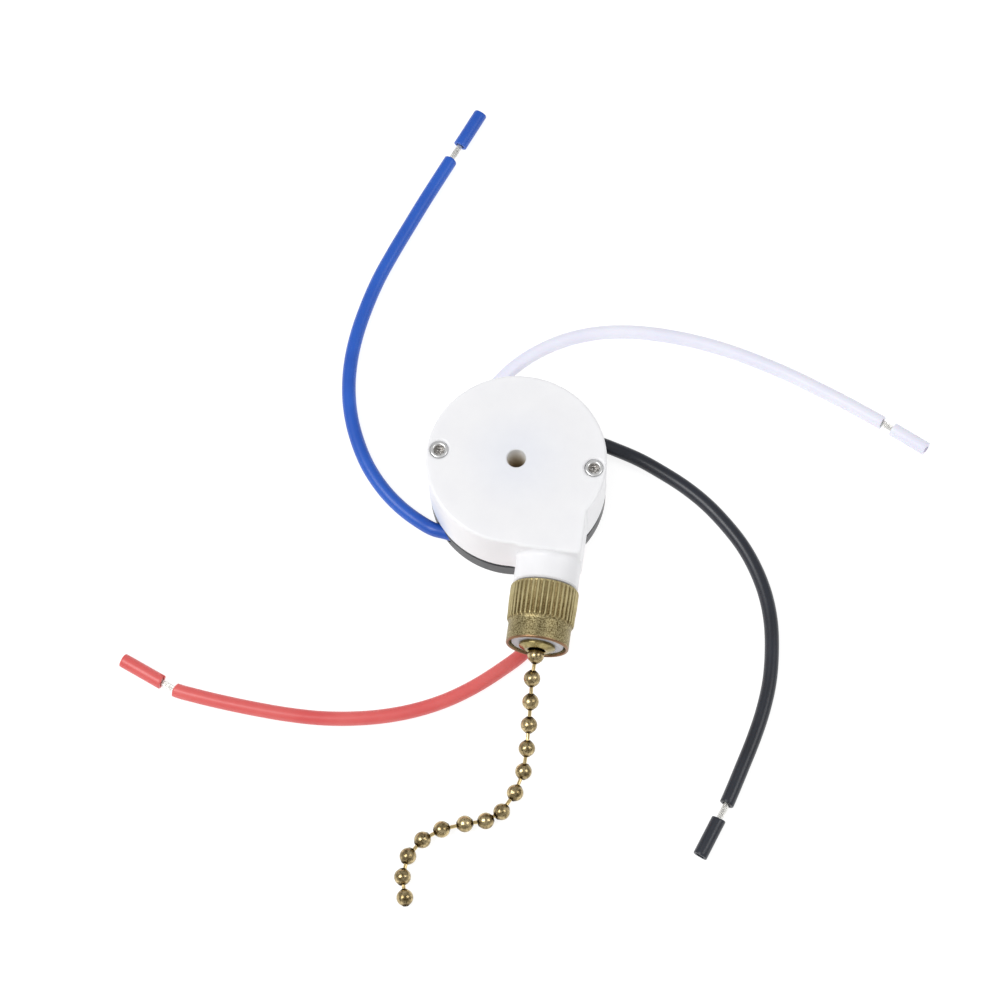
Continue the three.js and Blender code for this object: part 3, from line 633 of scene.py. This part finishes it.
def neck_tool():
    """Collar and threaded neck in one solid that starts inside the boss."""
    boss = -BOSS_END_Y
    inside = 1.5
    flare = 0.95
    collar = -COLLAR_END_Y
    end = -NECK_END_Y
    outline = [(0.0, boss - inside), (COLLAR_R, boss - inside), (COLLAR_R + flare, boss - 0.1)]
    outline += [(z, y) for y, z in arc((boss + flare, COLLAR_R + flare), flare, 180, 270, 7)]
    outline += [(COLLAR_R, collar - 0.3), (COLLAR_R - 0.3, collar), (THREAD_R - 0.4, collar)]
    thread_start = collar + 0.6
    steps = 150
    for i in range(steps + 1):
        outline.append((THREAD_R, thread_start + (end - 0.5 - thread_start) * i / steps))
    outline += [(THREAD_R - 0.12, end - 0.12), (THREAD_R - 0.3, end), (0.0, end)]
    last = len(outline) - 4
    first = last - steps

    def thread(index, radius, height, angle):
        if radius > COLLAR_R:
            # the flare grows only upward, under the boss's own top edge
            return COLLAR_R + (radius - COLLAR_R) * max(0.0, math.sin(angle)) ** 0.7, height
        if not first <= index <= last:
            return radius, height
        phase = (height / THREAD_PITCH - angle / (2 * math.pi)) % 1
        return radius - THREAD_DEPTH * (0.5 + 0.5 * math.cos(2 * math.pi * phase)), height

    return lathe("tool", outline, PLAIN, on_neck(), 72, thread)


def counterbore_tool(x):
    """A recess round a rivet's head, its upper edge softly rounded over."""
    floor = CAP_TOP - COUNTERBORE_DEPTH
    outline = [(0.0, floor), (COUNTERBORE_R - 0.1, floor)]
    for wider, below_top in ((-0.1, 0.34), (-0.04, 0.22), (0.12, 0.08), (0.34, 0.01),
                             (0.42, -0.02), (0.42, -1)):
        outline.append((COUNTERBORE_R + wider, CAP_TOP - below_top))
    outline.append((0.0, CAP_TOP + 1))
    return lathe("tool", outline, PLAIN, Matrix.Translation((x, 0, 0)), 64)


def make_cap():
    cap = cap_shell()
    cut(cap, neck_tool(), "UNION")
    hollow = cylinder_tool(CAVITY_R, CAP_BOTTOM - 1, CAVITY_TOP, sides=128)
    cut(hollow, cylinder_tool(POST_R, CAP_BOTTOM + 0.1, CAP_TOP))
    for x in (-RIVET_X, RIVET_X):
        cut(hollow, cylinder_tool(RIVET_PILLAR_R, 0, CAP_TOP + 1, x))
    cut(cap, hollow)
    cut(cap, cylinder_tool(POST_BORE_R, 0, CAP_TOP + 1, flare=0.18))
    for x in (-RIVET_X, RIVET_X):
        cut(cap, cylinder_tool(RIVET_HOLE_R, 0, CAP_TOP + 1, x))
        cut(cap, counterbore_tool(x))
    cut(cap, lathe("tool", [(0.0, 8), (2.1, 8), (2.1, -NECK_END_Y - 5),
                            (2.75, -NECK_END_Y - 5), (2.75, -NECK_END_Y + 1),
                            (0.0, -NECK_END_Y + 1)], PLAIN, on_neck(), 64))
    tidy_mesh(cap, 35)
    even_shading(cap)
    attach(cap, "housing")
    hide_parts("top_cap")


def wire_frame(azimuth):
    """A wire's own frame: origin where it crosses the rim, x outward along the wire."""
    at = math.radians(azimuth)
    place = Matrix.Translation((WIRE_RIM_R * math.cos(at), WIRE_RIM_R * math.sin(at), 0))
    return place @ Matrix.Rotation(math.radians(azimuth + WIRE_LEAN), 4, "Z")


def make_base():
    edge = 0.5
    rebate_z = BASE_H - 0.85
    rebate_r = BASE_R - 0.7
    outline = [(0.0, 0.0), *arc((BASE_R - edge, edge), edge, 270, 360, 6),
               *arc((BASE_R - 0.15, rebate_z - 0.15), 0.15, 0, 90, 3), (rebate_r, rebate_z),
               (rebate_r, BASE_H), (0.0, BASE_H)]
    base = lathe("base_moulding", outline, PHENOLIC, sides=160)
    cut(base, cylinder_tool(11.6, 4.1, BASE_H + 1, sides=96))
    cut(base, cylinder_tool(1.5, 3.5, BASE_HIGH.z), "UNION")
    for x in (-RIVET_X, RIVET_X):
        cut(base, cylinder_tool(RIVET_HOLE_R, -1, BASE_H + 1, x))
        cut(base, cylinder_tool(COUNTERBORE_R, -1, COUNTERBORE_DEPTH, x))
    for wire in WIRES.values():
        place = wire_frame(wire["azimuth"])
        lying = place @ Matrix.Translation((-4, 0, WIRE_EXIT_Z)) @ Matrix.Rotation(
            math.pi / 2, 4, "Y")
        cut(base, lathe("tool", [(0.0, 0), (WIRE_HOLE_R, 0), (WIRE_HOLE_R, 7), (0.0, 7)],
                        PLAIN, lying, 40))
        cut(base, box_tool((-9.6, -2.2, 1.2), (-3.2, 1.7, BASE_H + 1), place))
        cut(base, box_tool((-8.0, -6.6, 4.1), (-4.2, 0, BASE_H + 1), place))
    tidy_mesh(base, 35)
    even_shading(base)
    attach(base, "housing")
    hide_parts("base_plate")


def make_rivet(side, x):
    """A tubular rivet: its rolled rim stands round a hole with a crimped floor."""
    low, high = RIVET_LOW.z, RIVET_HIGH.z
    roll = 0.22
    outer = 1.7
    outline = [(0.0, low + 0.5), (0.9, low + 0.45), *arc((1.25, low + 0.3), 0.3, 180, 270, 4),
               *arc((outer - roll, low + roll), roll, 270, 360, 4), (outer - 0.08, low + 0.42),
               (1.25, low + 0.5), (1.25, high - 0.6), (outer - 0.1, high - 0.45),
               *arc((outer - roll, high - roll), roll, 0, 90, 5),
               *arc((1.32, high - 0.28), 0.28, 90, 180, 5)]
    floor_from = len(outline)
    outline += [(1.03, high - 1.0), (0.95, high - 1.22), (0.74, high - 1.27),
                (0.52, high - 1.16), (0.3, high - 1.12), (0.12, high - 1.2),
                (0.0, high - 1.24)]

    def crimped(index, radius, height, angle):
        if index <= floor_from or radius == 0.0:
            return radius, height
        lumps = math.cos(5 * angle + 0.6) + 0.6 * math.sin(2 * angle + 1.1)
        return radius, height + 0.07 * lumps * math.sin(math.pi * min(radius, 1.0))

    rivet = lathe(f"rolled_rivet_{side}", outline, NICKEL, Matrix.Translation((x, 0, 0)), 72,
                  crimped, 50)
    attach(rivet, "housing")
    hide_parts(f"rivet_{side}")


# ---------- nut and bell mouth ----------

def make_nut():
    start, shoulder, end = -NUT_HIGH.y, -NUT_SHOULDER_Y, -NUT_LOW.y
    ridge = 0.3
    crown = 0.5
    knurl_end_r = NUT_R - 0.12
    ramp = 1.1
    rim = 0.38
    outline = [(NUT_BORE_R, start + 0.3), (NUT_BORE_R + 0.2, start), (NUT_R - crown - 0.3, start)]
    for i in range(9):
        angle = math.pi / 2 * i / 8
        outline.append((NUT_R - crown * (1 - math.sin(angle)),
                        start + crown * (1 - math.cos(angle))))
    outline.append((NUT_R, (start + shoulder) / 2))
    for short in (0.9, 0.62, 0.54, 0.46, 0.38, 0.3, 0.22, 0.1, 0.0):
        outline.append((knurl_end_r, shoulder - short))
    for i in range(1, 11):
        drop = smooth_step(i / 10) * (knurl_end_r - NUT_SMOOTH_R)
        outline.append((knurl_end_r - drop, shoulder + ramp * i / 10))
    outline.append((NUT_SMOOTH_R, (shoulder + ramp + end) / 2))
    outline += [(z, y) for y, z in arc((end - rim, NUT_SMOOTH_R - rim), rim, 90, 0, 7)]
    outline += [(NUT_BORE_R + 0.16, end - 0.02), (NUT_BORE_R, end - 0.3)]

    def knurled(index, radius, height, angle):
        from_crest = abs((NUT_RIDGES * angle / (2 * math.pi) + 0.5) % 1 - 0.5)
        groove = ridge * smooth_step((from_crest - 0.1) / 0.2)
        if radius < NUT_BORE_R + 0.3:
            return radius, height
        if height > shoulder - 1.0:
            return min(radius, knurl_end_r - groove), height
        return radius - groove * smooth_step((height - start - 0.06) / 0.4), height

    nut = lathe("knurled_nut", outline, BRASS_NUT, on_neck(), NUT_RIDGES * 14, knurled, 50)
    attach(nut, "nut")
    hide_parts("cap_nut")


def make_bell():
    """The bush in the neck's end: a flange, and a cone that stands out round the hole."""
    tip = -BELL_LOW.y
    back = -NECK_END_Y + 0.02
    face = tip - 0.55
    start = back - 4.6
    hole = 1.7
    outline = [(2.05, start), (2.45, start), (2.45, back - 0.05), (2.5, back), (3.35, back),
               *arc((3.38, back + 0.12), 0.12, 270, 360, 3), (3.5, face - 0.12),
               *arc((3.38, face - 0.12), 0.12, 0, 70, 3), (3.2, face + 0.06),
               (2.9, face + 0.2), (2.6, face + 0.36), (2.4, face + 0.46),
               *arc((2.16, tip - 0.2), 0.2, 62, 90, 2),
               *arc((hole + 0.2, tip - 0.2), 0.2, 90, 180, 4),
               (hole, tip - 1.2), (1.9, tip - 2.6)]
    bell = lathe("bell_mouth_bush", outline, BRASS_BUSH, on_neck(), 96)
    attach(bell, "housing")
    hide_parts("bell_mouth")


# ---------- chain ----------

def free_beads():
    beads = [Vector((NECK_X, FIRST_BEAD_Y, NECK_Z))]
    for i, heading in enumerate(CHAIN_HEADINGS):
        here = beads[-1]
        next_z = CHAIN_HEIGHTS[min(i + 1, len(CHAIN_HEIGHTS) - 1)]
        spacing = LINK_TAUT if i < TAUT_LINKS else SLACK_SPACINGS[i - TAUT_LINKS]
        step = math.sqrt(spacing ** 2 - (next_z - here.z) ** 2)
        angle = math.radians(heading)
        beads.append(Vector((here.x + step * math.sin(angle),
                             here.y - step * math.cos(angle), next_z)))
    return beads


def looking_along(start, direction, spin=0.0):
    """A frame in metres at a point in millimetres, its Z along a direction."""
    turn = direction.to_track_quat("Z", "Y").to_matrix().to_4x4()
    return Matrix.Translation(start * MM) @ turn @ Matrix.Rotation(spin, 4, "Z")


def bead_outline():
    """A hollow ball drawn out to a blunt cone at each pole, where its holes are."""
    hole = 20
    wall = 0.16
    cone = 52
    outer = arc((0, 0), BEAD_R, -cone, cone, 18)
    inner = arc((0, 0), BEAD_R - wall, 90 - hole - 3, -90 + hole + 3, 14)
    lip = BEAD_R * math.sin(math.radians(hole))
    top = BEAD_R * math.sin(math.radians(cone))
    top += (outer[-1][0] - lip) / math.tan(math.radians(cone))
    return ([(lip, -top)] + outer + [(lip, top), (lip - 0.07, top - 0.01),
                                     (lip - 0.1, top - 0.2)] + inner
            + [(lip - 0.1, -top + 0.2), (lip - 0.07, -top + 0.01)])


def seam(index, radius, height, angle):
    """The joint where a bead's strip was rolled shut: a fine groove down one side."""
    away = abs((angle + math.pi) % (2 * math.pi) - math.pi)
    return radius * (1 - 0.035 * math.exp(-(away / 0.05) ** 2)), height


def make_bead(name, center, direction, number, body, node=None):
    bead = lathe(name, bead_outline(), BRASS_BEAD, sides=72, shape_at=seam, smooth_angle=45)
    bead.matrix_world = looking_along(center, direction, 2.4 * number)
    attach(bead, body)
    if node:
        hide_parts(node)


def make_link(name, start, end, body):
    """A dumbbell: a wire with a head inside the bead at each end."""
    length = (end - start).length
    head = 0.62
    head_at = 0.75
    near = arc((0, head_at), head, -80, 52, 8)
    far = [(r, length - z) for r, z in reversed(near)]
    outline = near + [(LINK_R, head_at + head), (LINK_R, length - head_at - head)] + far
    verts = []
    sides = 24
    for r, z in outline:
        verts += [(r * math.cos(2 * math.pi * i / sides), r * math.sin(2 * math.pi * i / sides),
                   z) for i in range(sides)]
    faces = ring_faces(len(outline), sides)
    faces.append(tuple(range(sides)))
    faces.append(tuple(range(len(verts) - sides, len(verts))))
    link = add_object(name, verts, faces, BRASS_LINK)
    link.matrix_world = looking_along(start, end - start)
    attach(link, body)


def body_of_node(node):
    bodies = frame["record"]["behaviour"]["bodies"]
    return next(body for body, nodes in bodies.items() if node in nodes)


def make_free_chain():
    beads = free_beads()
    for i, center in enumerate(beads):
        node = f"chain_bead_{i + 1:02d}"
        body = body_of_node(node)
        before = beads[max(i - 1, 0)]
        after = beads[min(i + 1, len(beads) - 1)]
        make_bead(f"bead_{i + 1:02d}", center, after - before, i, body, node)
        if i + 1 < len(beads):
            make_link(f"link_{i + 1:02d}", center, beads[i + 1], body)


def make_hidden_chain():
    """The straight run inside the neck, and the turn of chain on the wheel."""
    first = Vector((NECK_X, FIRST_BEAD_Y, NECK_Z))
    pitch = Vector((0, LINK_TAUT, 0))
    run = [first + pitch * (BEADS_IN_NECK - i) for i in range(BEADS_IN_NECK)]
    for i, center in enumerate(run):
        node = "chain_inner_run" if i == 0 else None
        make_bead(f"neck_bead_{i + 1}", center, -pitch, i + 20, "chain_lead", node)
        make_link(f"neck_link_{i + 1}", center, center - pitch, "chain_lead")
    start = (LINK_TAUT + run[0].y) / NECK_X
    step = 2 * math.asin(LINK_TAUT / 2 / NECK_X)
    wrapped = []
    for i in range(BEADS_ON_WHEEL):
        angle = start + i * step
        wrapped.append(Vector((NECK_X * math.cos(angle), NECK_X * math.sin(angle), NECK_Z)))
    for i, center in enumerate(wrapped):
        node = "chain_on_wheel" if i == 0 else None
        along = Vector((-center.y, center.x, 0))
        make_bead(f"wheel_bead_{i + 1}", center, along, i + 40, "wheel", node)
        if i:
            make_link(f"wheel_link_{i}", wrapped[i - 1], center, "wheel")


# ---------- wires ----------

def smooth_line(points, per_span=40):
    """Centripetal Catmull-Rom through the points, as a dense list."""
    ends = [points[0] * 2 - points[1], *points, points[-1] * 2 - points[-2]]
    line = []
    for p0, p1, p2, p3 in zip(ends, ends[1:], ends[2:], ends[3:]):
        t1 = (p1 - p0).length ** 0.5
        t2 = t1 + (p2 - p1).length ** 0.5
        t3 = t2 + (p3 - p2).length ** 0.5
        for i in range(per_span):
            t = t1 + (t2 - t1) * i / per_span
            a1 = p0.lerp(p1, t / t1)
            a2 = p1.lerp(p2, (t - t1) / (t2 - t1))
            a3 = p2.lerp(p3, (t - t2) / (t3 - t2))
            b1 = a1.lerp(a2, t / t2)
            b2 = a2.lerp(a3, (t - t1) / (t3 - t1))
            line.append(b1.lerp(b2, (t - t1) / (t2 - t1)))
    line.append(points[-1].copy())
    return line


class Line:
    """A dense line read by distance, with a frame that doesn't twist."""

    def __init__(self, points):
        self.points = points
        self.along = [0.0]
        for a, b in zip(points, points[1:]):
            self.along.append(self.along[-1] + (b - a).length)
        self.length = self.along[-1]
        side = Vector((0, 0, 1))
        self.sides = []
        for i in range(len(points)):
            tangent = self.tangent_at(i)
            side = (side - tangent * side.dot(tangent)).normalized()
            self.sides.append(side.copy())

    def tangent_at(self, i):
        a = self.points[max(i - 1, 0)]
        b = self.points[min(i + 1, len(self.points) - 1)]
        return (b - a).normalized()

    def frame(self, distance):
        """Point, side, up and tangent at a distance along the line."""
        low, high = 0, len(self.along) - 1
        while high - low > 1:
            middle = (low + high) // 2
            if self.along[middle] <= distance:
                low = middle
            else:
                high = middle
        share = (distance - self.along[low]) / (self.along[high] - self.along[low])
        tangent = (self.points[high] - self.points[low]).normalized()
        side = self.sides[low].lerp(self.sides[high], share)
        side = (side - tangent * side.dot(tangent)).normalized()
        return self.points[low].lerp(self.points[high], share), side, tangent.cross(side), tangent


def wire_line(wire):
    place = wire_frame(wire["azimuth"])
    inside = [place @ Vector((x, y, WIRE_EXIT_Z))
              for x, y in ((-CONDUCTOR_IN, 0), (-4.5, 0), (0, 0), (2.2, 0))]
    outside = [Vector(point) for point in wire["route"]]
    tail = Vector((*wire["tail"], 0)).normalized()
    bare, slug = wire["bare"], wire["slug"]
    beyond = [outside[-1] + tail * d for d in (bare, bare + slug / 2, bare + slug)]
    return Line(smooth_line(inside + outside + beyond))


def sleeve(name, line, start, end, material, cut_ends, steps, sides=40):
    """A hollow tube along a line, with lightly rounded ends. cut_ends(which, angle) moves
    an end's rim along the line, as an uneven cut does."""
    rim = 0.09
    fade = 3
    fade_step = 0.45
    cut_reach = 1.6
    rows = [(WIRE_BORE_R, start), (WIRE_R - rim, start), (WIRE_R - rim / 3, start + rim / 3),
            (WIRE_R, start + rim)]
    stations = [start + rim + (end - start - 2 * rim) * i / steps for i in range(1, steps)]
    early = [start + rim + fade_step * (i + 1) for i in range(fade)]
    late = [end - rim - fade_step * (i + 1) for i in reversed(range(fade))]
    middle = [s for s in stations if early[-1] + 0.2 < s < late[0] - 0.2]
    rows += [(WIRE_R, s) for s in early + middle + late]
    rows += [(WIRE_R, end - rim), (WIRE_R - rim / 3, end - rim / 3), (WIRE_R - rim, end),
             (WIRE_BORE_R, end)]
    rows += [(WIRE_BORE_R, s) for s in reversed(early + middle + late)]
    verts = []
    for radius, station in rows:
        for i in range(sides):
            angle = 2 * math.pi * i / sides
            near_start = max(0.0, 1 - (station - start) / cut_reach)
            near_end = max(0.0, 1 - (end - station) / cut_reach)
            shift = cut_ends(0, angle) * near_start + cut_ends(1, angle) * near_end
            point, side, up, tangent = line.frame(station)
            verts.append(point + (side * math.cos(angle) + up * math.sin(angle)) * radius
                         + tangent * shift)
    faces = ring_faces(len(rows), sides, closed_rows=True)
    return add_object(name, verts, faces, material, 40)


def rod_rows(line, stations, radius, offset, sides):
    """Rings of a rod that runs beside a line. offset(distance) gives its place off the
    line as two numbers."""
    verts = []
    for station in stations:
        point, side, up, _ = line.frame(station)
        x, y = offset(station)
        center = point + side * x + up * y
        for i in range(sides):
            angle = 2 * math.pi * i / sides
            verts.append(center + (side * math.cos(angle) + up * math.sin(angle)) * radius)
    faces = ring_faces(len(stations), sides)
    faces.append(tuple(range(sides)))
    faces.append(tuple(range(len(verts) - sides, len(verts))))
    return verts, faces


def make_conductor(name, line, bare_from, bare_to):
    """A plain core inside the insulation and twisted strands where it comes out."""
    reach = 2.5
    lay = 34.0
    strand_r = 0.115
    strand_from = bare_from - reach
    strand_to = bare_to + CONDUCTOR_IN_SLUG
    core_r = 0.55
    core_steps = 90
    core = [strand_from * i / core_steps for i in range(core_steps + 1)]
    verts, faces = rod_rows(line, core, core_r, lambda station: (0, 0), 12)
    steps = 60
    stations = [strand_from + (strand_to - strand_from) * i / steps for i in range(steps + 1)]
    for ring, count in ((0.0, 1), (0.235, 6), (0.465, 12)):
        for k in range(count):
            def offset(station, ring=ring, k=k, count=count):
                middle = 1 - abs(2 * (station - bare_from) / (bare_to - bare_from) - 1)
                loose = ring * (1 + 0.12 * max(0.0, middle))
                angle = 2 * math.pi * (k / count + (station - strand_from) / lay)
                return loose * math.cos(angle), loose * math.sin(angle)
            more, quads = rod_rows(line, stations, strand_r, offset, 8)
            faces += [tuple(v + len(verts) for v in face) for face in quads]
            verts += more
    return add_object(name, verts, faces, TINNED, 50)


def uneven(seed, notch=None):
    """How unevenly a wire's ends were cut, with an optional split at its first end."""
    def shift(which, angle):
        wobble = 0.09 * math.sin(angle + seed + 2 * which) + 0.04 * math.sin(3 * angle + seed * 2)
        if which == 0 and notch is not None:
            away = abs((angle - notch + math.pi) % (2 * math.pi) - math.pi)
            wobble += 1.1 * max(0.0, 1 - away / 0.38)
        return wobble
    return shift


def make_wire(number, name, wire, material):
    line = wire_line(wire)
    start = CONDUCTOR_IN - INSULATION_IN
    slug_start = line.length - wire["slug"]
    end = slug_start - wire["bare"]
    steps = int((end - start) / 0.55)
    insulation = sleeve(f"{name}_insulation", line, start, end, material, uneven(number), steps)
    slug = sleeve(f"{name}_end_slug", line, slug_start, line.length, material,
                  uneven(number + 5, notch=1.0 if name == "red" else None), 16)
    strands = make_conductor(f"{name}_strands", line, end, slug_start)
    for piece, body, node, slot in (
            (insulation, "housing", f"{name}_wire_insulation", f"pvc_{name}"),
            (slug, f"{name}_slug", f"{name}_wire_slug", f"pvc_{name}"),
            (strands, "housing", f"{name}_wire_conductor", "tinned_copper")):
        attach(piece, body)
        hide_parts(node)
    spacing = 1.0
    count = int((end - start) / spacing)
    path = [line.frame(start + (end - start) * i / count)[0] * MM for i in range(count + 1)]


# ---------- inner pieces that stay as the CAD has them ----------

def finish_inner_nodes():
    finishes = {
        "drive_wheel": ACETAL, "index_rotor": ACETAL, "return_spring": STEEL,
        "contact_spring": STEEL, "moving_contact": COPPER, "detent_leaf_back": STEEL,
        "detent_leaf_front": STEEL,
    }
    for name in WIRES:
        finishes[f"terminal_{name}"] = BRASS_BARE
        finishes[f"wire_clamp_{name}"] = STEEL
    for node, material in finishes.items():
        obj = frame["nodes"][node]
        obj.data.materials.clear()
        obj.data.materials.append(material)


# ---------- the object ----------

PLAIN = bpy.data.materials.new("tool")
NYLON = nylon()
PHENOLIC = phenolic()
NICKEL = rivet_nickel()
TINNED = plated("tinned_copper", (0.8, 0.79, 0.76), (0.95, 0.95, 0.92), 0.3, 0.45, 1200, 0.004)
STEEL = plated("spring_steel", (0.3, 0.31, 0.33), (0.55, 0.56, 0.58), 0.2, 0.35)
COPPER = plated("copper_strip", (0.45, 0.2, 0.1), (0.75, 0.42, 0.26), 0.2, 0.4)
BRASS_BARE = plated("brass_strip", (0.5, 0.36, 0.14), (0.8, 0.64, 0.32), 0.2, 0.35)
BRASS_BUSH = plated("brass_bush", (0.16, 0.125, 0.045), (0.45, 0.375, 0.17), 0.16, 0.3, 700)
BRASS_LINK = plated("brass_link", (0.62, 0.46, 0.2), (0.9, 0.76, 0.45), 0.15, 0.3, 900)
ACETAL = pvc("acetal_cream", (0.74, 0.71, 0.62), (0.82, 0.8, 0.72), 0.35, 0.5)
BRASS_NUT = antique_nut()
BRASS_BEAD = antique_bead()
PVC = {
    "blue": pvc("pvc_blue", (0.012, 0.085, 0.47), (0.02, 0.12, 0.58)),
    "red": pvc("pvc_red", (0.70, 0.10, 0.10), (0.78, 0.155, 0.145)),
    "black": pvc("pvc_black", (0.012, 0.014, 0.021), (0.022, 0.026, 0.038)),
    "white": pvc("pvc_white", (0.82, 0.82, 0.95), (0.88, 0.88, 0.98)),
}

make_camera()
make_studio()
for index, (wire_name, facts) in enumerate(WIRES.items()):
    make_wire(index, wire_name, facts, PVC[wire_name])
make_cap()
make_base()
make_rivet("left", -RIVET_X)
make_rivet("right", RIVET_X)
make_nut()
make_bell()
make_free_chain()
make_hidden_chain()
finish_inner_nodes()
